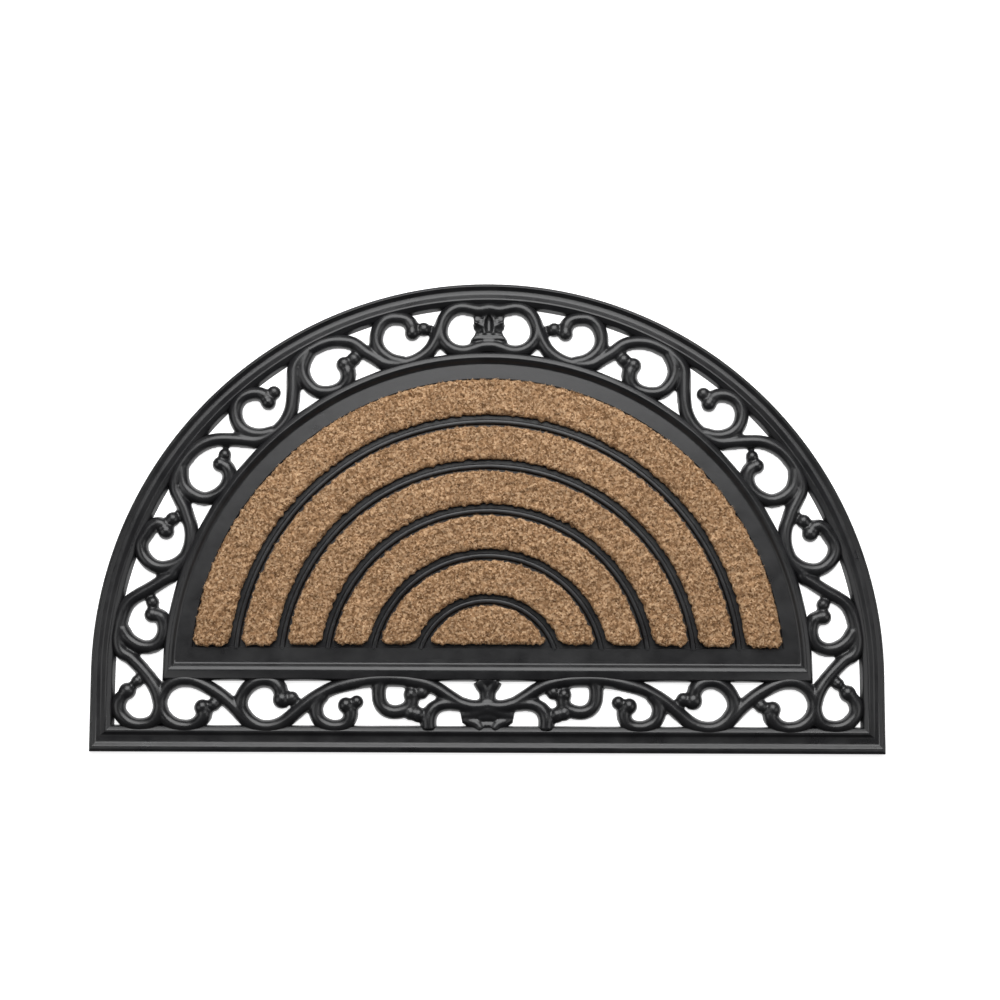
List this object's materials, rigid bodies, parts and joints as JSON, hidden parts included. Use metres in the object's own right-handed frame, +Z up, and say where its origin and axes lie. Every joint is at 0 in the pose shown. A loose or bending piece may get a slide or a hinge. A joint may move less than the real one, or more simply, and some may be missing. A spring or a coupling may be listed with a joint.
{
  "type": "half-round doormat",
  "caption": "Half-round doormat: a moulded rubber tray with an open scrollwork border, and coir bands set in concentric arcs.",
  "frame": {"origin": "middle of the bounding box, on the floor under the mat", "axes": "+X along the straight front edge, to the right; +Y to the top of the arc; +Z up"},
  "size_m": [0.75, 0.45, 0.013],
  "materials": {
    "rubber": "black moulded rubber, satin, slightly mottled",
    "coir": "natural tan coir pile, cut short, speckled light and dark"
  },
  "bodies": {
    "root": {"rubber_frame": "rubber", "coir_band_0": "coir", "coir_band_1": "coir", "coir_band_2": "coir", "coir_band_3": "coir", "coir_band_4": "coir", "coir_band_5": "coir"}
  },
  "joints": []
}
